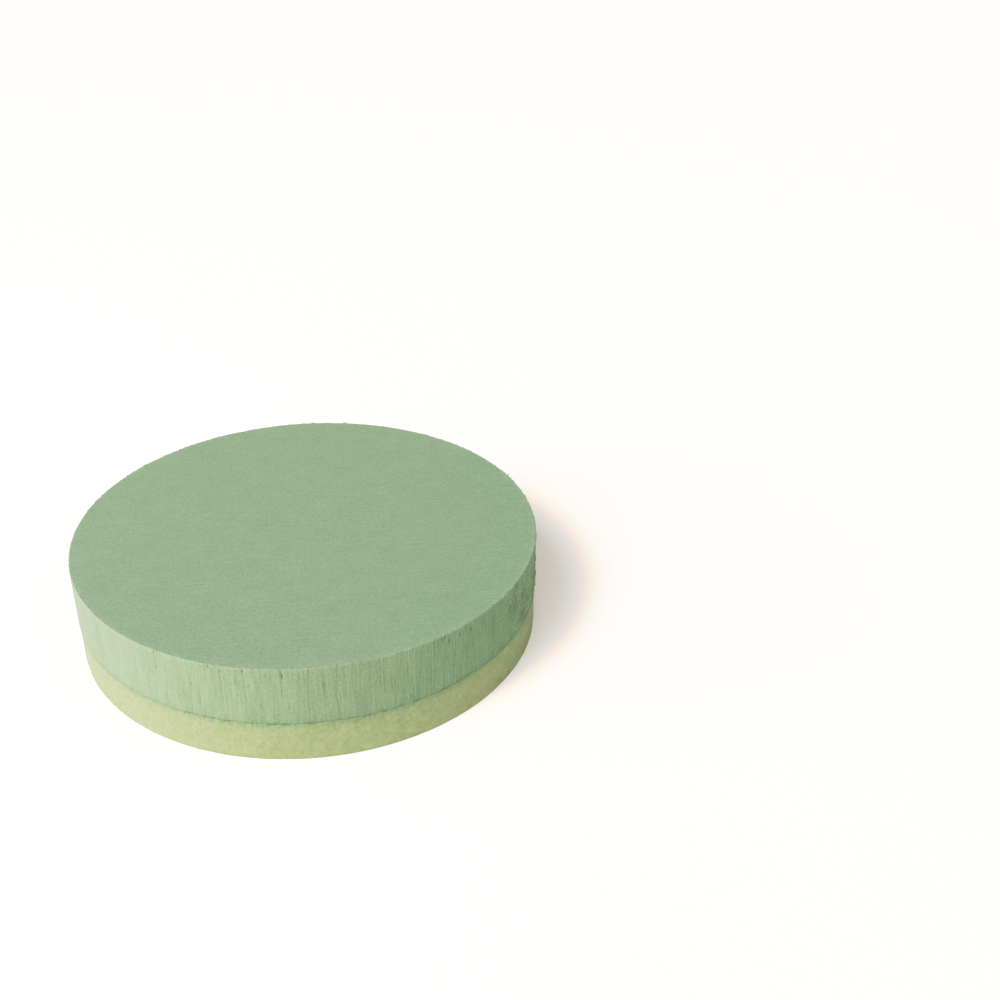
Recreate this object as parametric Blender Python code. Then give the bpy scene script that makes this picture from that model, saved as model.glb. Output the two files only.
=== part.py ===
"""Round floral foam posy pad: a disc of wet floral foam glued on a disc of rigid base foam.

The frame has its origin at the centre of the underside and +Z up through the pad. Sizes are in metres.
"""

import math

import bmesh
import bpy

# Driving dimensions
PAD_DIAMETER = 0.250
PAD_HEIGHT = 0.055
JOINT_HEIGHT = 0.022  # the middle of the glue layer, above the underside
GLUE_THICKNESS = 0.0004
GLUE_SETBACK = 0.0006  # the glue stops this far inside the foam's rim
BASE_SETBACK = 0.0004  # the base disc is cut this much smaller in radius
CONTACT_GAP = 0.0003  # left between neighbouring solids
FOAM_EDGE_BREAK = 0.0005  # crumbled corner of the soft foam
BASE_EDGE_BREAK = 0.0004  # cut corner of the harder base

RIM_SEGMENTS = 192
BREAK_SEGMENTS = 2
RIM_ANGLE = math.radians(30)

# Colours are linear RGB
FOAM_GREEN = (0.12, 0.175, 0.10, 1.0)
GLUE_GREEN = (0.05, 0.09, 0.045, 1.0)
BASE_GREEN = (0.17, 0.205, 0.09, 1.0)


def clear_scene():
    for thing in list(bpy.data.objects):
        bpy.data.objects.remove(thing, do_unlink=True)


def make_material(name, colour, roughness):
    material = bpy.data.materials.new(name)
    material.use_nodes = True
    shader = material.node_tree.nodes["Principled BSDF"]
    shader.inputs["Base Color"].default_value = colour
    shader.inputs["Roughness"].default_value = roughness
    shader.inputs["Metallic"].default_value = 0.0
    return material


def make_disc(name, radius, low, high, material):
    """A closed round disc between two heights: a filled circle, extruded upwards."""
    shape = bmesh.new()
    bmesh.ops.create_circle(shape, cap_ends=True, segments=RIM_SEGMENTS, radius=radius)
    grown = bmesh.ops.extrude_face_region(shape, geom=list(shape.faces))
    raised = [item for item in grown["geom"] if isinstance(item, bmesh.types.BMVert)]
    bmesh.ops.translate(shape, verts=raised, vec=(0.0, 0.0, high - low))
    bmesh.ops.recalc_face_normals(shape, faces=list(shape.faces))
    mesh = bpy.data.meshes.new(name)
    shape.to_mesh(mesh)
    shape.free()
    mesh.shade_smooth()
    mesh.set_sharp_from_angle(angle=RIM_ANGLE)
    mesh.materials.append(material)
    disc = bpy.data.objects.new(name, mesh)
    disc.location = (0.0, 0.0, low)
    bpy.context.scene.collection.objects.link(disc)
    return disc


def break_edges(disc, width):
    """Rounds both rims of a disc."""
    bevel = disc.modifiers.new("edge_break", "BEVEL")
    bevel.limit_method = "ANGLE"
    bevel.angle_limit = RIM_ANGLE
    bevel.width = width
    bevel.segments = BREAK_SEGMENTS


def make_base(radius, top):
    """The rigid foam disc that the pad stands on."""
    material = make_material("rigid_base_foam", BASE_GREEN, 0.85)
    disc = make_disc("rigid_base_disc", radius, 0.0, top, material)
    break_edges(disc, BASE_EDGE_BREAK)
    return disc


def make_glue(radius, low, high):
    """The thin layer of cured adhesive between the two discs."""
    material = make_material("cured_adhesive", GLUE_GREEN, 0.6)
    return make_disc("adhesive_film", radius, low, high, material)


def make_foam(radius, bottom, top):
    """The disc of open-cell wet foam that takes the stems."""
    material = make_material("wet_floral_foam", FOAM_GREEN, 0.95)
    disc = make_disc("wet_foam_disc", radius, bottom, top, material)
    break_edges(disc, FOAM_EDGE_BREAK)
    return disc


def build_pad():
    radius = PAD_DIAMETER / 2
    glue_low = JOINT_HEIGHT - GLUE_THICKNESS / 2
    glue_high = JOINT_HEIGHT + GLUE_THICKNESS / 2
    pad = bpy.data.objects.new("posy_pad", None)
    bpy.context.scene.collection.objects.link(pad)
    discs = (
        make_base(radius - BASE_SETBACK, glue_low - CONTACT_GAP),
        make_glue(radius - GLUE_SETBACK, glue_low, glue_high),
        make_foam(radius, glue_high + CONTACT_GAP, PAD_HEIGHT),
    )
    for disc in discs:
        disc.parent = pad


clear_scene()
build_pad()
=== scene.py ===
"""Looks for the round floral foam posy pad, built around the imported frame. Sizes are in metres."""

import itertools
import math

import bpy
import numpy as np
from mathutils import Matrix, Vector


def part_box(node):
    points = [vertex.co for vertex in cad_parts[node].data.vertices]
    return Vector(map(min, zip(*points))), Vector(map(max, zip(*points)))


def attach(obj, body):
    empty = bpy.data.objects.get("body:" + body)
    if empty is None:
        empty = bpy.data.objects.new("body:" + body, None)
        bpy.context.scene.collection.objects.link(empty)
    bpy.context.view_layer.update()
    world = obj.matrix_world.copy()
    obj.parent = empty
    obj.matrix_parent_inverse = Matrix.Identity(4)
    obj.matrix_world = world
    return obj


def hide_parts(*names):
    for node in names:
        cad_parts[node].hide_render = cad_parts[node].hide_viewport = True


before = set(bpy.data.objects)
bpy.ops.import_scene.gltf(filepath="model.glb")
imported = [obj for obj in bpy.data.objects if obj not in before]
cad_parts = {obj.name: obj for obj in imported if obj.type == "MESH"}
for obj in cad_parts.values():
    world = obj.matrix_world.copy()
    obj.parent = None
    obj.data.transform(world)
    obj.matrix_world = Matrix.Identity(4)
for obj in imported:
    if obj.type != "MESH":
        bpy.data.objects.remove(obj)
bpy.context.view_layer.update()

MM = 0.001
FULL_TURN = 2 * math.pi

# Camera, about the pad's centre on the floor
CAMERA_DISTANCE = 0.7587
CAMERA_ELEVATION = math.radians(35.03)
CAMERA_YAW = math.radians(9.751)  # the lens points this far to the right of the pad
CAMERA_PITCH = math.radians(4.448)  # and this far above it
CAMERA_ROLL = math.radians(0.475)
SENSOR_WIDTH_MM = 36.0
FOCAL_LENGTH_MM = 47.6

# Meshes
FOAM_COLUMNS = 1920
FOAM_ROW = 1.15 * MM
BASE_COLUMNS = 1440
BASE_ROW = 1.0 * MM
INNERMOST_RING = 4.0 * MM
CROWDED = 0.75  # points closer than this share of the rings' spacing are halved in number
NOISE_GRID = 48
FACE_SKIN = 0.01 * MM  # a point this near a flat face is on it
SIDE_SKIN = 0.2 * MM  # a foam point this near the rim's radius is on the side

# Flat faces: the rings' spacing at the rim, their spacing in the middle, and how far in it grows
FOAM_UNDERSIDE_GRID = (1.2 * MM, 7.0 * MM, 12 * MM)
FOAM_TOP_GRID = (0.7 * MM, 1.6 * MM, 8 * MM)
BASE_UNDERSIDE_GRID = (0.8 * MM, 4.0 * MM, 10 * MM)
BASE_TOP_GRID = (0.8 * MM, 6.0 * MM, 12 * MM)
GLUE_GRID = (1.2 * MM, 8.0 * MM, 12 * MM)

# Broken edges: how far each ring is in from the rim's radius, and how far from the flat face
FOAM_LOWER_EDGE = ((0.12 * MM, 0.0), (0.0, 0.24 * MM))
FOAM_UPPER_EDGE = (
    (0.0, 1.0 * MM),
    (0.0, 0.45 * MM),
    (0.04 * MM, 0.12 * MM),
    (0.12 * MM, 0.0),
    (0.55 * MM, 0.0),
)
FOAM_SIDE_START = 0.4 * MM  # above the foam's underside
FOAM_TOP_START = 0.7 * MM  # in from the rim's radius
BASE_EDGE = 0.2 * MM

# Stretches of the rim that differ from the rest
ALL_ROUND = (0.0, FULL_TURN)
SHADED_AND_FRAYED_STRETCH = (math.radians(290), math.radians(400))  # the side away from the lamps, where the foam gets painted shade: darker and greener
SHADED_SIDE_BLUR = math.radians(20)
FRAYED_BLUR = math.radians(14)  # the cutter has left deeper grooves there too
PITTED_STRETCH = (math.radians(319), math.radians(385))  # where more cells have been pulled out
PITTED_BLUR = math.radians(7)
PITTED_WANDER = math.radians(9)

# Grooves left by the cutter: how many, how deep, and what share of the height one runs for
FOAM_GROOVES = (620, 0.17 * MM, (0.15, 1.2))
BASE_GROOVES = (60, 0.15 * MM, (0.1, 0.5))
GROOVE_HALF_WIDTH = (0.28 * MM, 0.50 * MM)
GROOVE_LEAN = 0.012
GROOVE_BEND = 0.15 * MM
GROOVE_LIPS = 0.25  # the raised lip on each side, as a share of the depth
GROOVE_LIP_PLACE = 1.9  # from the groove's middle, in half widths
GROOVE_FADE = (0.5, 1.0)  # where a groove runs out, as shares of its half length

# Places where cells have pulled out: how many, how deep, and how slender
TEARS = (200, 0.32 * MM, 3.0)
RIM_TEARS = (42, 0.55 * MM, 6.0)
RIM_TEARS_REACH = 5 * MM  # below the top
PITS = (1700, 0.60 * MM, 1.6)
TEAR_HALF_WIDTH = (0.30 * MM, 0.50 * MM)
TOP_MARGIN = 1 * MM  # left whole below the top
FOAM_FULL_SHADE_HOLLOW = 0.45 * MM  # a hollow this deep gets the fullest painted shade
# on the base, a groove this deep gets the fullest painted shade
BASE_FULL_SHADE_HOLLOW = 0.3 * MM

# How far the surfaces stand out or in
COMB_RIBS = 0.045 * MM
CUT_WAVES = 0.06 * MM
FOAM_ROUGHNESS = 0.04 * MM
PITTED_ROUGHNESS = 0.12 * MM  # more than elsewhere
PITTED_CRUMBS = 1.1 * MM
TOP_SWAY = 0.08 * MM
RIM_CRUMBS = (0.6 * MM, 0.9 * MM)  # outwards and upwards
RIM_CHIPS = (0.35 * MM, 0.45 * MM)  # inwards and downwards
BASE_FELT = 0.06 * MM
BASE_WAVES = 0.08 * MM
GLUE_HALF_THICKNESS = 0.22 * MM  # at the rim
GLUE_PROUD = 0.15 * MM  # past the film's radius, with beads on it
GLUE_BEADS = 0.25 * MM

# Distances over which something fades away
TOP_FADE = 0.6 * MM  # from the rim to where the top has its own look
SHADED_SIDE_REACH = 35 * MM  # in from the rim, on the top, for the painted shade of the side away from the lamps
RIM_REACH = 0.5 * MM  # for crumbs and chips
RIM_HIGHLIGHT_REACH = 0.6 * MM  # for the pale band along the rim: pale crumbs and a painted highlight on its edge
FOAM_SEAM_REACH = 0.9 * MM  # up the wet foam, whose edge bends to meet the seam
BASE_SEAM_REACH = 0.7 * MM  # down the base, whose lip does the same
SOAKED_AND_SHADED_REACH = 0.5 * MM  # up the wet foam, for darkening along the joint: adhesive in its cells and painted shade between the parts
DAMP_REACH = 3.0 * MM  # up the wet foam, for its darker tint
STAIN_REACH = 4.0 * MM  # down the base
STAIN_BAND = (2.3 * MM, 0.5 * MM)  # where the stronger stain near the seam ends, and where it is full
STAIN_STREAKS = 0.9 * MM
GLUE_RIM = (1.5 * MM, 0.3 * MM)  # in from the film's radius: where it starts to follow the seam, and does

# The seam between the two foams at the rim
SEAM_RISE = 0.3 * MM  # above the middle of the adhesive
SEAM_WAVE = 0.22 * MM
GAPE_LEAST = 0.06 * MM
GAPE_GROWTH = 1.4 * MM
LIP_DEPTH = 0.2 * MM  # of the base's edge, which moves as one
LIP_WIDTH = 0.5 * MM
LIP_SPREAD = 0.35 * MM  # outwards, where the seam is shut
SHUT_GAPE = 0.10 * MM
OPEN_GAPE = 0.40 * MM

# Colours, linear
FOAM_TOP_COLOUR = (0.1185, 0.1765, 0.1045, 1.0)
FOAM_SIDE_COLOUR = (0.119, 0.172, 0.094, 1.0)
# Darker, greener copies of the foam's colours: painted shade on the side away from the lamps
FOAM_TOP_IN_PAINTED_SHADE_COLOUR = (0.111, 0.174, 0.101, 1.0)
FOAM_SIDE_IN_PAINTED_SHADE_COLOUR = (0.096, 0.167, 0.086, 1.0)
# Pale crumbs along the rim, and a painted highlight on its edge
FOAM_CRUMB_AND_HIGHLIGHT_COLOUR = (0.154, 0.211, 0.139, 1.0)
BASE_COLOUR = (0.145, 0.189, 0.074, 1.0)
BASE_PALE_COLOUR = (0.180, 0.214, 0.103, 1.0)
BASE_STAIN_COLOUR = (0.106, 0.161, 0.077, 1.0)
GLUE_COLOUR = (0.030, 0.060, 0.028, 1.0)
GLUE_PALE_COLOUR = (0.070, 0.115, 0.058, 1.0)
FLOOR_COLOUR = (0.965, 0.872, 0.805, 1.0)
DAMP_TINT = (0.870, 0.915, 0.930, 1.0)  # next to the adhesive
PLAIN_TINT = (1.0, 1.0, 1.0, 1.0)
WARM_TINT = (1.014, 1.000, 0.962, 1.0)
COOL_TINT = (0.986, 1.000, 1.038, 1.0)

# The Mix node's colour sockets, which share their names with others, and the view's combined curve
MIX_A = 6
MIX_B = 7
MIX_RESULT = 2
COMBINED_CURVE = 3

# Stage
FLOOR_RADIUS = 6.0
LAMP_TARGET = (0.0, 0.0, 0.03)
SOFTBOX_PLACE = (185.0, 12.0, 1.0)  # azimuth and elevation in degrees, distance
SOFTBOX_SIDE = 0.4
SOFTBOX_WATTS = 17.4
SOFT_SUNS = {  # azimuth and elevation in degrees, angle across in degrees, strength
    "left_light": (215.0, 50.0, 30.0, 4.07),
    "front_left_light": (230.0, 32.0, 50.0, 3.16),
    "right_light": (342.0, 37.0, 60.0, 1.82),
    "back_light": (90.0, 60.0, 60.0, 0.30),
}
AMBIENT = (0.29, 0.262, 0.21, 1.0)
BACKDROP = (2.7, 2.7, 2.7, 1.0)

# The picture's tone curve: light in the scene, and how bright it looks
WHITE_POINT = 2.20
TONES = (
    (0.38, 0.376),
    (0.59, 0.546),
    (0.80, 0.645),
    (1.145, 0.753),
    (1.40, 0.90),
    (1.65, 0.965),
    (1.95, 0.992),
)


# ---------------------------------------------------------------- random fields


def smooth_noise(points, cell, seed):
    """A smooth random field from -1 to 1 at the points, with features about one cell across.

    The cell is one size, or one for each axis."""
    table = np.random.default_rng(seed).uniform(-1.0, 1.0, (NOISE_GRID,) * 3)
    scaled = points / np.asarray(cell)
    low = np.floor(scaled).astype(int)
    part = scaled - low
    part = part * part * (3.0 - 2.0 * part)
    total = np.zeros(len(points))
    for corner in itertools.product((0, 1), repeat=3):
        index = (low + corner) % NOISE_GRID
        share = np.where(corner, part, 1.0 - part).prod(axis=1)
        total += share * table[index[:, 0], index[:, 1], index[:, 2]]
    return total


def layered_noise(points, cell, seed, layers=3):
    """Smooth noise with finer layers on it, each half the size and half the height of the one before."""
    total = np.zeros(len(points))
    for layer in range(layers):
        total += smooth_noise(points, np.asarray(cell) / 2**layer, seed + layer) / 2**layer
    return total


def smooth_step(low, high, values):
    """From 0 at low to 1 at high, with a smooth rise between them. Low may be the greater of the two."""
    t = np.clip((values - low) / (high - low), 0.0, 1.0)
    return t * t * (3.0 - 2.0 * t)


def angle_between(angles, centre):
    """Signed angles from the centre, the short way round."""
    return (angles - centre + math.pi) % FULL_TURN - math.pi


def stretch_share(angle, stretch, blur):
    """1 inside a stretch of the rim, 0 outside it, blurred at its ends by an angle."""
    half = (stretch[1] - stretch[0]) / 2
    from_middle = np.abs(angle_between(angle, sum(stretch) / 2))
    return smooth_step(half + blur, half - blur, from_middle)


# ---------------------------------------------------------------- round meshes


class RoundSurface:
    """A closed round solid as rings of points about the Z axis, from its lower pole to its upper one."""

    def __init__(self, rings):
        self.counts = [count for count, radius, height in rings]
        self.angle = np.concatenate([np.arange(n) * FULL_TURN / n for n in self.counts])
        self.radius = np.concatenate([np.full(n, radius) for n, radius, height in rings])
        self.height = np.concatenate([np.full(n, height) for n, radius, height in rings])

    def points(self):
        x = self.radius * np.cos(self.angle)
        y = self.radius * np.sin(self.angle)
        return np.column_stack((x, y, self.height))

    def faces(self):
        """Each pair of neighbouring rings has equal counts, or counts that differ by a factor of two."""
        faces = [tuple(reversed(range(self.counts[0])))]
        start = 0
        for below, above in zip(self.counts, self.counts[1:]):
            faces += ring_pair(start, below, start + below, above)
            start += below
        faces.append(tuple(range(start, start + self.counts[-1])))
        return faces


def ring_pair(a, below, b, above):
    """The faces between a ring that starts at point a and the next one up, which starts at point b."""
    faces = []
    for i in range(min(below, above)):
        j = (i + 1) % min(below, above)
        if below == above:
            faces.append((a + i, a + j, b + j, b + i))
        elif below > above:
            middle, last = a + 2 * i + 1, a + (2 * i + 2) % below
            faces.append((a + 2 * i, middle, b + i))
            faces.append((middle, b + j, b + i))
            faces.append((middle, last, b + j))
        else:
            middle, last = b + 2 * i + 1, b + (2 * i + 2) % above
            faces.append((a + i, middle, b + 2 * i))
            faces.append((a + i, a + j, middle))
            faces.append((a + j, last, middle))
    return faces


def disc_rings(rim_radius, rim_count, height, fine, coarse, reach):
    """A flat disc's rings from the rim inwards, fine at the rim and coarse beyond reach of it."""
    rings = []
    radius, count = rim_radius - fine, rim_count
    while radius > INNERMOST_RING:
        spacing = fine + (coarse - fine) * min(1.0, (rim_radius - radius) / reach)
        if count % 2 == 0 and FULL_TURN * radius / count < CROWDED * spacing:
            count //= 2
        rings.append((count, radius, height))
        radius -= spacing
    return rings


def side_rings(radius, count, low, high, row):
    """Evenly spaced rings up a straight side, without its two ends."""
    rows = round((high - low) / row)
    return [(count, radius, low + (high - low) * i / rows) for i in range(1, rows)]


def make_piece(name, surface, attributes, material, node):
    """A mesh object from a round surface, standing for one CAD node."""
    mesh = bpy.data.meshes.new(name)
    mesh.from_pydata(surface.points().tolist(), [], surface.faces())
    for attribute_name, values in attributes.items():
        layer = mesh.attributes.new(attribute_name, "FLOAT", "POINT")
        layer.data.foreach_set("value", np.asarray(values, np.float32))
    mesh.shade_smooth()
    mesh.materials.append(material)
    piece = bpy.data.objects.new(name, mesh)
    bpy.context.scene.collection.objects.link(piece)
    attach(piece, "root")
    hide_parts(node)
    return piece


# ---------------------------------------------------------------- marks cut into a side


def groove_depth(angle, height, radius, rng, count, deepest, span, low, high):
    """Upright grooves left by the cutter: how far in the side is pushed, for each point.

    The span is the least and greatest share of the side's height that a groove runs for."""
    depth = np.zeros(len(angle))
    for _ in range(count):
        centre = rng.uniform(0.0, FULL_TURN)
        middle = rng.uniform(low, high)
        half_length = rng.uniform(*span) * (high - low) / 2
        half_width = rng.uniform(*GROOVE_HALF_WIDTH)
        lean = rng.normal(0.0, GROOVE_LEAN)
        bend = rng.normal(0.0, GROOVE_BEND)
        cut = deepest * (0.2 + 0.8 * rng.uniform() ** 4)
        arc = radius * angle_between(angle, centre)
        near = np.abs(arc) < 8 * max(GROOVE_HALF_WIDTH)
        along = (height[near] - middle) / half_length
        across = (arc[near] - lean * along * half_length - bend * along**2) / half_width
        lips = GROOVE_LIPS * np.exp(-((np.abs(across) - GROOVE_LIP_PLACE) ** 2))
        fading = 1.0 - smooth_step(*GROOVE_FADE, np.abs(along))
        depth[near] += cut * (np.exp(-across * across) - lips) * fading
    return depth


def tear_depth(angle, height, radius, rng, count, deepest, slender, centres, low, high):
    """Small upright tears where cells have pulled out: how far in the side is pushed, for each point.

    A tear is up to slender times as high as it is wide. The centres are the stretch that holds them."""
    depth = np.zeros(len(angle))
    for _ in range(count):
        centre = rng.uniform(*centres)
        middle = rng.uniform(low, high)
        half_width = rng.uniform(*TEAR_HALF_WIDTH)
        half_height = half_width * rng.uniform(1.0, slender)
        cut = deepest * rng.uniform(0.3, 1.0)
        arc = radius * angle_between(angle, centre)
        near = (np.abs(arc) < 3 * half_width) & (np.abs(height - middle) < 3 * half_height)
        spread = (arc[near] / half_width) ** 2 + ((height[near] - middle) / half_height) ** 2
        depth[near] += cut * np.exp(-spread)
    return depth


# ---------------------------------------------------------------- the seam between the foams


def adhesive_height():
    low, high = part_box("adhesive_film")
    return (low.z + high.z) / 2


def flattened(points):
    """The points without their heights, so that what depends on them runs straight up."""
    return points * (1.0, 1.0, 0.0)


def seam_line(flat):
    """The seam at the rim: its height about the adhesive, and how wide it gapes.

    The points are flattened, so that all three pieces follow one line."""
    height = SEAM_RISE + SEAM_WAVE * layered_noise(flat, 2.0 * MM, 29)
    openness = layered_noise(flat, 1.9 * MM, 47) + 0.2 * smooth_noise(flat, 14 * MM, 97) - 0.2
    gape = GAPE_LEAST + GAPE_GROWTH * np.clip(openness, 0.0, 0.6)
    return height, gape


# ---------------------------------------------------------------- material nodes


def new_material(name):
    """A material, its node tree and its Principled shader."""
    material = bpy.data.materials.new(name)
    material.use_nodes = True
    tree = material.node_tree
    return material, tree, tree.nodes["Principled BSDF"]


def set_input(tree, socket, value):
    """Links the socket to another node's, or gives it a plain value."""
    if isinstance(value, bpy.types.NodeSocket):
        tree.links.new(value, socket)
    else:
        socket.default_value = value


def add_node(tree, kind, settings=None, inputs=None):
    """A node with its settings and inputs, where an input is a value or another node's socket."""
    node = tree.nodes.new(kind)
    for name, value in (settings or {}).items():
        setattr(node, name, value)
    for name, value in (inputs or {}).items():
        set_input(tree, node.inputs[name], value)
    return node


def vector_maths(tree, operation, inputs):
    node = add_node(tree, "ShaderNodeVectorMath", {"operation": operation}, inputs)
    return node.outputs["Vector"]


def maths(tree, operation, a, b=0.0):
    return add_node(tree, "ShaderNodeMath", {"operation": operation}, {0: a, 1: b}).outputs["Value"]


def attribute(tree, name):
    return add_node(tree, "ShaderNodeAttribute", {"attribute_name": name}).outputs["Fac"]


def position(tree, cell):
    """The place on the object, counted in cells along each axis."""
    where = add_node(tree, "ShaderNodeTexCoord").outputs["Object"]
    return vector_maths(tree, "MULTIPLY", {0: where, 1: tuple(1.0 / size for size in cell)})


def noise(tree, cell, detail=2.0, roughness=0.5):
    """Noise from 0 to 1, mostly near 0.5, with features of the given size along each axis."""
    inputs = {"Vector": position(tree, cell), "Scale": 1.0, "Detail": detail, "Roughness": roughness}
    return add_node(tree, "ShaderNodeTexNoise", {}, inputs).outputs["Fac"]


def even_noise(tree, size, detail=2.0, roughness=0.5):
    """Noise with features of one size along all three axes."""
    return noise(tree, (size, size, size), detail, roughness)


def cells(tree, size):
    """The distance to the nearest cell centre, about 0 to 1."""
    inputs = {"Vector": position(tree, (size, size, size)), "Scale": 1.0}
    return add_node(tree, "ShaderNodeTexVoronoi", {}, inputs).outputs["Distance"]


def ridges(tree, cell):
    """Thin winding lines, near 1 on each line and falling to 0 well away from it."""
    from_line = maths(tree, "ABSOLUTE", maths(tree, "SUBTRACT", noise(tree, cell, 1.0), 0.5))
    return maths(tree, "SUBTRACT", 1.0, maths(tree, "MULTIPLY", from_line, 5.0))


def remap(tree, value, low, high, to_low=0.0, to_high=1.0):
    """The value's range from low to high, stretched to another one and kept inside it."""
    inputs = {"Value": value, "From Min": low, "From Max": high, "To Min": to_low, "To Max": to_high}
    return add_node(tree, "ShaderNodeMapRange", {"clamp": True}, inputs).outputs["Result"]


def blend_colours(tree, factor, a, b):
    node = add_node(tree, "ShaderNodeMix", {"data_type": "RGBA", "clamp_factor": True})
    set_input(tree, node.inputs["Factor"], factor)
    set_input(tree, node.inputs[MIX_A], a)
    set_input(tree, node.inputs[MIX_B], b)
    return node.outputs[MIX_RESULT]


def shade(tree, colour, factor):
    """The colour made lighter or darker by a factor near 1."""
    return vector_maths(tree, "SCALE", {0: colour, "Scale": factor})


def multiply(tree, colour, tint):
    return vector_maths(tree, "MULTIPLY", {0: colour, 1: tint})


def varied(tree, colour, texture, amount, spread=0.2):
    """The colour made darker and lighter by up to an amount, by a texture within a spread of 0.5."""
    factor = remap(tree, texture, 0.5 - spread, 0.5 + spread, 1.0 - amount, 1.0 + amount)
    return shade(tree, colour, factor)


def tinted(tree, colour, size):
    """The colour with slightly warmer and cooler patches of about the given size."""
    patches = remap(tree, even_noise(tree, size), 0.35, 0.65)
    return multiply(tree, colour, blend_colours(tree, patches, WARM_TINT, COOL_TINT))


def bump(tree, height, distance, strength, normal=None):
    inputs = {"Height": height, "Distance": distance, "Strength": strength}
    if normal is not None:
        inputs["Normal"] = normal
    return add_node(tree, "ShaderNodeBump", {}, inputs).outputs["Normal"]


# ---------------------------------------------------------------- wet foam: material


def foam_colour(tree, top):
    """The foam's colour: darker and greener in painted shade on the side away from the lamps, damp by the
    joint, and pale with crumbs and a painted highlight along the rim.
    """
    # painted shade, darker and greener, on the side away from the lamps
    painted_side_shade = attribute(tree, "painted_side_shade")
    side_colour = blend_colours(tree, painted_side_shade, FOAM_SIDE_COLOUR, FOAM_SIDE_IN_PAINTED_SHADE_COLOUR)
    top_colour = blend_colours(tree, painted_side_shade, FOAM_TOP_COLOUR, FOAM_TOP_IN_PAINTED_SHADE_COLOUR)
    colour = blend_colours(tree, top, side_colour, top_colour)
    damp = attribute(tree, "damp")
    colour = multiply(tree, colour, blend_colours(tree, damp, PLAIN_TINT, DAMP_TINT))
    # pale crumbs and a painted highlight along the rim
    crumb_and_highlight = maths(tree, "MULTIPLY", attribute(tree, "crumb_and_highlight"), 0.8)
    colour = blend_colours(tree, crumb_and_highlight, colour, FOAM_CRUMB_AND_HIGHLIGHT_COLOUR)
    colour = varied(tree, colour, even_noise(tree, 14 * MM, 4.0), 0.027)
    return tinted(tree, colour, 5 * MM)


def sawn_top(tree, colour, grain):
    """The flat top: fine grain, faint saw lines, and a few pinpricks drawn as painted shade in their
    holes.
    """
    colour = varied(tree, colour, grain, 0.21, 0.25)
    saw_lines = noise(tree, (16 * MM, 0.9 * MM, 11 * MM))
    colour = varied(tree, colour, saw_lines, 0.055)
    # painted shade in a few pinprick holes
    return shade(tree, colour, remap(tree, cells(tree, 11 * MM), 0.02, 0.05, 0.86, 1.0))


def combed_side(tree, colour, grain, fibre):
    """The side: upright fibres where the cutter combed it, and open pores where cells have pulled out,
    drawn as painted shade in their holes.
    """
    pitted = attribute(tree, "pitted")
    colour = varied(tree, colour, grain, 0.18, 0.25)
    colour = varied(tree, colour, noise(tree, (7 * MM, 7 * MM, 22 * MM)), 0.04)

    strand = ridges(tree, (2.4 * MM, 2.4 * MM, 40 * MM))
    fibrous = varied(tree, colour, fibre, 0.085)
    fibrous = shade(tree, fibrous, remap(tree, strand, 0.75, 1.0, 1.02, 0.88))

    mottle = remap(tree, even_noise(tree, 9 * MM, 3.0), 0.35, 0.65, 0.80, 1.10)
    colour = blend_colours(tree, pitted, fibrous, shade(tree, colour, mottle))

    # painted shade in the holes of open pores
    ragged = maths(tree, "MULTIPLY", even_noise(tree, 1.4 * MM, 3.0), 0.8)
    painted_pore_shade = maths(tree, "ADD", cells(tree, 1.15 * MM), ragged)
    painted_pore_shade = remap(tree, painted_pore_shade, 0.52, 0.92, 0.36, 1.11)
    torn = remap(tree, even_noise(tree, 6 * MM, 4.0, 0.6), 0.40, 0.60, 0.25, 1.0)
    torn = maths(tree, "MULTIPLY", torn, pitted)
    return blend_colours(tree, torn, colour, shade(tree, colour, painted_pore_shade))


def foam_material():
    """Fine open cells, sawn flat on top and combed by the cutter on the side."""
    material, tree, shader = new_material("wet_floral_foam")
    top = attribute(tree, "top")
    grain = even_noise(tree, 1.5 * MM, 6.0, 0.75)
    cell = cells(tree, 0.7 * MM)
    fibre = noise(tree, (0.85 * MM, 0.85 * MM, 18 * MM), 2.0, 0.6)

    colour = foam_colour(tree, top)
    colour = shade(tree, colour, remap(tree, cell, 0.1, 0.7, 0.92, 1.075))
    side = combed_side(tree, colour, grain, fibre)
    colour = blend_colours(tree, top, side, sawn_top(tree, colour, grain))
    # painted shade in the hollows, and the darkening along the joint
    colour = shade(tree, colour, remap(tree, attribute(tree, "painted_hollow_shade"), 0.0, 1.0, 1.0, 0.5))
    tree.links.new(colour, shader.inputs["Base Color"])

    upright = maths(tree, "MULTIPLY", fibre, maths(tree, "SUBTRACT", 1.0, top))
    rough = bump(tree, grain, 0.14 * MM, 0.6)
    rough = bump(tree, cell, 0.10 * MM, 0.5, rough)
    rough = bump(tree, upright, 0.10 * MM, 0.6, rough)
    tree.links.new(rough, shader.inputs["Normal"])
    shader.inputs["Roughness"].default_value = 0.95
    shader.inputs["Specular IOR Level"].default_value = 0.2
    return material


# ---------------------------------------------------------------- wet foam: shape


def foam_rings(radius, low, high):
    underside = disc_rings(radius, FOAM_COLUMNS, low, *FOAM_UNDERSIDE_GRID)
    top = disc_rings(radius - FOAM_TOP_START, FOAM_COLUMNS, high, *FOAM_TOP_GRID)
    side = [(FOAM_COLUMNS, radius - inwards, low + up) for inwards, up in FOAM_LOWER_EDGE]
    side_end = high - FOAM_UPPER_EDGE[0][1]
    side += side_rings(radius, FOAM_COLUMNS, low + FOAM_SIDE_START, side_end, FOAM_ROW)
    side += [(FOAM_COLUMNS, radius - inwards, high - down) for inwards, down in FOAM_UPPER_EDGE]
    return list(reversed(underside)) + side + top


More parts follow.
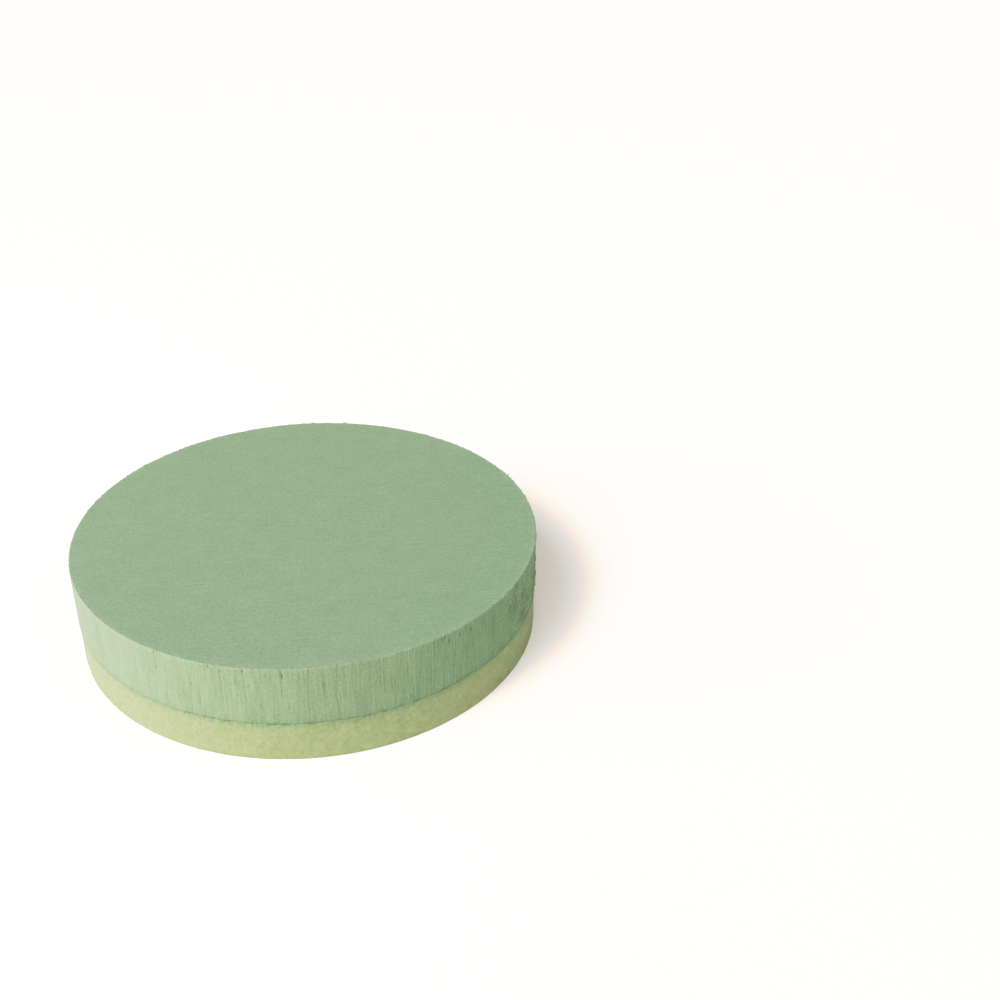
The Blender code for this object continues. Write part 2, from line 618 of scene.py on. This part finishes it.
def pitted_share(points, angle):
    """Where on the side more cells have been pulled out, from 0 to 1, with a wandering edge."""
    wander = PITTED_WANDER * smooth_noise(points, 11 * MM, 23)
    return stretch_share(angle + wander, PITTED_STRETCH, PITTED_BLUR)


def foam_relief(place, pitted):
    """The side's unevenness, inwards: fine ribs, waves in the cut, roughness and standing crumbs."""
    comb = smooth_noise(place, (1.3 * MM, 1.3 * MM, 10 * MM), 7)
    comb += smooth_noise(place, (2.6 * MM, 2.6 * MM, 22 * MM), 9)
    waves = smooth_noise(place, (8 * MM, 8 * MM, 40 * MM), 11)
    rough = (FOAM_ROUGHNESS + PITTED_ROUGHNESS * pitted) * layered_noise(place, 1.7 * MM, 17)
    crumbs = pitted * np.clip(smooth_noise(place, 1.7 * MM, 89) - 0.4, 0.0, 1.0)
    return COMB_RIBS * comb + CUT_WAVES * waves + rough - PITTED_CRUMBS * crumbs


def foam_side_marks(angle, height, radius, low, high, pitted):
    """How far in each point of the side is pushed, and how much painted shade its hollows get, from 0 to
    1.
    """
    rng = np.random.default_rng(41)
    place = np.column_stack((radius * np.cos(angle), radius * np.sin(angle), height))

    grooves = groove_depth(angle, height, radius, rng, *FOAM_GROOVES, low, high)
    frayed = stretch_share(angle, SHADED_AND_FRAYED_STRETCH, FRAYED_BLUR)
    grooves *= (1.0 + 0.5 * frayed) * (1.0 - 0.7 * pitted)

    highest = high - TOP_MARGIN
    lowest_at_rim = high - RIM_TEARS_REACH
    centres = (PITTED_STRETCH[0] - 2 * PITTED_BLUR, PITTED_STRETCH[1] + 2 * PITTED_BLUR)
    tears = tear_depth(angle, height, radius, rng, *TEARS, ALL_ROUND, low, high)
    tears += tear_depth(angle, height, radius, rng, *RIM_TEARS, ALL_ROUND, lowest_at_rim, highest)
    pits = tear_depth(angle, height, radius, rng, *PITS, centres, low, highest)
    patches = smooth_step(-0.2, 0.3, smooth_noise(place, 9 * MM, 19))
    tears += pits * pitted * (0.25 + 0.75 * patches)

    inward = foam_relief(place, pitted) + grooves + tears
    return inward, np.clip((0.35 * grooves + tears) / FOAM_FULL_SHADE_HOLLOW, 0.0, 1.0)


def shape_foam(surface, radius, low, high):
    """Roughens the foam, and gives what its material needs to know at each point."""
    points = surface.points()
    flat = flattened(points)
    inset = radius - surface.radius
    above_joint = surface.height - low
    below_rim = high - surface.height
    side = ((inset < SIDE_SKIN) & (above_joint > FACE_SKIN)).astype(float)
    top = smooth_step(0.0, TOP_FADE, inset) * (below_rim < FACE_SKIN)
    rim = np.exp(-(below_rim + inset) / RIM_REACH)
    # the pale band along the rim: a painted highlight on its edge, with crumbs
    rim_highlight = np.exp(-(below_rim + 0.35 * inset) / RIM_HIGHLIGHT_REACH)
    edge = np.exp(-above_joint / FOAM_SEAM_REACH) * (inset < SIDE_SKIN)

    pitted = side * pitted_share(points, surface.angle)
    inward, painted_hollow_shade = foam_side_marks(surface.angle, surface.height, radius, low, high, pitted)
    seam, gape = seam_line(flat)
    seam_to_foam = low - adhesive_height()
    chips = np.clip(layered_noise(flat, 2.2 * MM, 31) - 0.5, 0.0, 1.0)
    crumbs = np.clip(smooth_noise(flat, 1.4 * MM, 37) - 0.35, 0.0, 1.0)
    outwards = rim * (RIM_CRUMBS[0] * crumbs - RIM_CHIPS[0] * chips)
    upwards = rim * (RIM_CRUMBS[1] * crumbs - RIM_CHIPS[1] * chips)
    surface.radius = surface.radius - side * inward + outwards
    surface.height = surface.height + edge * (seam + gape / 2 - seam_to_foam)
    surface.height = surface.height + top * TOP_SWAY * layered_noise(points, 30 * MM, 43)
    surface.height = surface.height + upwards

    # darkening along the joint: partly adhesive soaked into the cells, partly painted shade between the
    # parts
    adhesive_spots = np.clip(0.5 + 0.7 * layered_noise(flat, 2.6 * MM, 79), 0.0, 1.0)
    soaked = np.exp(-above_joint / SOAKED_AND_SHADED_REACH) * adhesive_spots
    # painted shade, darker and greener, on the side away from the lamps
    painted_side_shade = stretch_share(surface.angle, SHADED_AND_FRAYED_STRETCH, SHADED_SIDE_BLUR)
    return {
        "top": top,
        # painted shade in grooves and tears, and the joint's darkening, part adhesive and part painted
        # shade
        "painted_hollow_shade": side * np.maximum(painted_hollow_shade, 0.40 * soaked),
        "crumb_and_highlight": np.clip(rim_highlight * (0.6 + crumbs), 0.0, 1.0),
        "damp": side * np.exp(-above_joint / DAMP_REACH),
        "painted_side_shade": painted_side_shade * np.exp(-inset / SHADED_SIDE_REACH),
        "pitted": pitted,
    }


def make_foam():
    low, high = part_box("wet_foam_disc")
    radius = (high.x - low.x) / 2
    surface = RoundSurface(foam_rings(radius, low.z, high.z))
    attributes = shape_foam(surface, radius, low.z, high.z)
    material = foam_material()
    return make_piece("wet_foam", surface, attributes, material, "wet_foam_disc")


# ---------------------------------------------------------------- rigid base foam


def base_material():
    """Closed cells too fine to see, with a felted look."""
    material, tree, shader = new_material("rigid_base_foam")
    felt = noise(tree, (7 * MM, 7 * MM, 8 * MM), 4.0, 0.55)
    grain = noise(tree, (1.9 * MM, 1.9 * MM, 2.3 * MM), 3.0, 0.6)
    colour = blend_colours(tree, remap(tree, felt, 0.3, 0.7), BASE_COLOUR, BASE_PALE_COLOUR)
    colour = blend_colours(tree, attribute(tree, "stain"), colour, BASE_STAIN_COLOUR)
    colour = varied(tree, tinted(tree, colour, 4 * MM), grain, 0.19, 0.25)
    # painted shade in the cutter's grooves
    colour = shade(tree, colour, remap(tree, attribute(tree, "painted_hollow_shade"), 0.0, 1.0, 1.0, 0.55))
    tree.links.new(colour, shader.inputs["Base Color"])
    tree.links.new(bump(tree, grain, 0.08 * MM, 0.5), shader.inputs["Normal"])
    shader.inputs["Roughness"].default_value = 0.85
    shader.inputs["Specular IOR Level"].default_value = 0.25
    return material


def base_rings(radius, low, high):
    underside = disc_rings(radius - BASE_EDGE, BASE_COLUMNS, low, *BASE_UNDERSIDE_GRID)
    top = disc_rings(radius - BASE_EDGE, BASE_COLUMNS, high, *BASE_TOP_GRID)
    side = [(BASE_COLUMNS, radius - BASE_EDGE, low), (BASE_COLUMNS, radius, low + BASE_EDGE)]
    side += side_rings(radius, BASE_COLUMNS, low + BASE_EDGE, high - BASE_EDGE, BASE_ROW)
    side += [(BASE_COLUMNS, radius, high - BASE_EDGE), (BASE_COLUMNS, radius - BASE_EDGE, high)]
    return list(reversed(underside)) + side + top


def base_stain(points, angle, high):
    """Green that has soaked in below the seam, and smears of it under the pitted stretch, from 0 to 1."""
    streaks = layered_noise(points, (1.4 * MM, 1.4 * MM, 6 * MM), 71)
    below_seam = np.clip(high - points[:, 2] - STAIN_STREAKS * streaks, 0.0, None)
    band = smooth_step(*STAIN_BAND, below_seam)
    soaked = 0.6 * band + 0.4 * np.exp(-below_seam / STAIN_REACH)
    pitted = stretch_share(angle, PITTED_STRETCH, PITTED_BLUR)
    smears = pitted * np.clip(0.25 + layered_noise(points, (7 * MM, 7 * MM, 6 * MM), 83), 0.0, 1.0)
    return np.clip(soaked + 0.7 * smears, 0.0, 1.0)


def shape_base(surface, radius, low, high):
    """Roughens the base, and gives what its material needs to know at each point."""
    points = surface.points()
    rng = np.random.default_rng(53)
    side = (radius - surface.radius < BASE_EDGE / 2).astype(float)
    grooves = groove_depth(surface.angle, surface.height, radius, rng, *BASE_GROOVES, low, high)
    felt = layered_noise(points, 2.5 * MM, 59)
    waves = smooth_noise(points, (9 * MM, 9 * MM, 30 * MM), 61)

    below_lip = np.clip(high - LIP_DEPTH - surface.height, 0.0, None)
    lip = np.exp(-below_lip / BASE_SEAM_REACH) * (radius - surface.radius < LIP_WIDTH)
    seam, gape = seam_line(flattened(points))
    shut = smooth_step(OPEN_GAPE, SHUT_GAPE, gape)
    base_to_seam = adhesive_height() - high
    surface.radius = surface.radius - side * (grooves + BASE_FELT * felt + BASE_WAVES * waves)
    surface.radius = surface.radius + lip * LIP_SPREAD * shut
    surface.height = surface.height + lip * (base_to_seam + seam - gape / 2)
    return {
        # painted shade in the cutter's grooves, darkest where deepest
        "painted_hollow_shade": side * np.clip(grooves / BASE_FULL_SHADE_HOLLOW, 0.0, 1.0),
        "stain": base_stain(points, surface.angle, high),
    }


def make_base():
    low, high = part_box("rigid_base_disc")
    radius = (high.x - low.x) / 2
    surface = RoundSurface(base_rings(radius, low.z, high.z))
    attributes = shape_base(surface, radius, low.z, high.z)
    material = base_material()
    return make_piece("rigid_base", surface, attributes, material, "rigid_base_disc")


# ---------------------------------------------------------------- adhesive


def glue_material():
    """Dark cured adhesive, paler in patches."""
    material, tree, shader = new_material("cured_adhesive")
    patch = even_noise(tree, 3 * MM, 3.0)
    colour = blend_colours(tree, remap(tree, patch, 0.35, 0.65), GLUE_COLOUR, GLUE_PALE_COLOUR)
    tree.links.new(colour, shader.inputs["Base Color"])
    tree.links.new(bump(tree, patch, 0.1 * MM, 0.5), shader.inputs["Normal"])
    shader.inputs["Roughness"].default_value = 0.7
    return material


def glue_rings(radius, low, high):
    underside = disc_rings(radius, BASE_COLUMNS, low, *GLUE_GRID)
    top = disc_rings(radius, BASE_COLUMNS, high, *GLUE_GRID)
    side = [(BASE_COLUMNS, radius, height) for height in (low, (low + high) / 2, high)]
    return list(reversed(underside)) + side + top


def make_glue():
    """The film follows the seam at the rim, where it stands out in beads."""
    low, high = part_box("adhesive_film")
    radius = (high.x - low.x) / 2
    surface = RoundSurface(glue_rings(radius, low.z, high.z))
    flat = flattened(surface.points())
    rim = smooth_step(*GLUE_RIM, radius - surface.radius)
    outermost = (radius - surface.radius < 0.1 * MM).astype(float)
    bead = layered_noise(flat, 1.5 * MM, 67)
    seam = seam_line(flat)[0]
    thick = np.sign(surface.height - adhesive_height()) * GLUE_HALF_THICKNESS
    surface.height = surface.height + rim * (seam + thick)
    surface.radius = surface.radius + outermost * (GLUE_PROUD + GLUE_BEADS * bead)
    return make_piece("adhesive", surface, {}, glue_material(), "adhesive_film")


# ---------------------------------------------------------------- stage, light and camera


def make_floor():
    material, tree, shader = new_material("floor_paper")
    shader.inputs["Base Color"].default_value = FLOOR_COLOUR
    shader.inputs["Roughness"].default_value = 0.9
    shader.inputs["Specular IOR Level"].default_value = 0.1
    bpy.ops.mesh.primitive_circle_add(vertices=96, radius=FLOOR_RADIUS, fill_type="NGON")
    floor = bpy.context.object
    floor.name = "floor"
    floor.data.materials.append(material)


def place_lamp(lamp, azimuth, elevation, distance=1.0):
    """A lamp in the given direction from the pad, pointing at it."""
    light = bpy.data.objects.new(lamp.name, lamp)
    a, e = math.radians(azimuth), math.radians(elevation)
    direction = Vector((math.cos(a) * math.cos(e), math.sin(a) * math.cos(e), math.sin(e)))
    light.location = distance * direction
    way = Vector(LAMP_TARGET) - light.location
    light.rotation_euler = way.to_track_quat("-Z", "Y").to_euler()
    bpy.context.scene.collection.objects.link(light)


def light_stage():
    softbox = bpy.data.lights.new("softbox", "AREA")
    softbox.size = SOFTBOX_SIDE
    softbox.energy = SOFTBOX_WATTS
    place_lamp(softbox, *SOFTBOX_PLACE)
    for name, (azimuth, elevation, across, strength) in SOFT_SUNS.items():
        sun = bpy.data.lights.new(name, "SUN")
        sun.angle = math.radians(across)
        sun.energy = strength
        place_lamp(sun, azimuth, elevation)


def set_tones():
    """Bright parts roll off gently, as in a photograph, so that their colours grow paler."""
    view = bpy.context.scene.view_settings
    view.view_transform = "Standard"
    view.use_curve_mapping = True
    view.curve_mapping.white_level = (WHITE_POINT,) * 3
    combined = view.curve_mapping.curves[COMBINED_CURVE]
    for light, tone in TONES:
        combined.points.new(light / WHITE_POINT, tone)
    view.curve_mapping.update()


def make_surroundings():
    """Weak light from all round the pad, behind which the camera sees a pale backdrop."""
    world = bpy.data.worlds.new("studio")
    world.use_nodes = True
    tree = world.node_tree
    seen = add_node(tree, "ShaderNodeLightPath").outputs["Is Camera Ray"]
    colour = blend_colours(tree, seen, AMBIENT, BACKDROP)
    tree.links.new(colour, tree.nodes["Background"].inputs["Color"])
    bpy.context.scene.world = world


def add_camera():
    """A camera in front of the pad, looking down at it and to its right, as the picture frames it."""
    lens = bpy.data.cameras.new("camera")
    lens.sensor_width = SENSOR_WIDTH_MM
    lens.lens = FOCAL_LENGTH_MM
    camera = bpy.data.objects.new("camera", lens)
    down = CAMERA_ELEVATION - CAMERA_PITCH
    ahead = Vector((math.sin(CAMERA_YAW), math.cos(CAMERA_YAW), 0.0))
    forward = math.cos(down) * ahead + Vector((0.0, 0.0, -math.sin(down)))
    right = Vector((math.cos(CAMERA_YAW), -math.sin(CAMERA_YAW), 0.0))
    up = right.cross(forward)
    turned_right = math.cos(CAMERA_ROLL) * right + math.sin(CAMERA_ROLL) * up
    turned_up = math.cos(CAMERA_ROLL) * up - math.sin(CAMERA_ROLL) * right
    turn = Matrix((turned_right, turned_up, -forward)).transposed()
    place = Vector((0.0, -math.cos(CAMERA_ELEVATION), math.sin(CAMERA_ELEVATION))) * CAMERA_DISTANCE
    camera.matrix_world = Matrix.Translation(place) @ turn.to_4x4()
    bpy.context.scene.collection.objects.link(camera)
    bpy.context.scene.camera = camera


add_camera()
make_foam()
make_base()
make_glue()
make_floor()
light_stage()
make_surroundings()
set_tones()
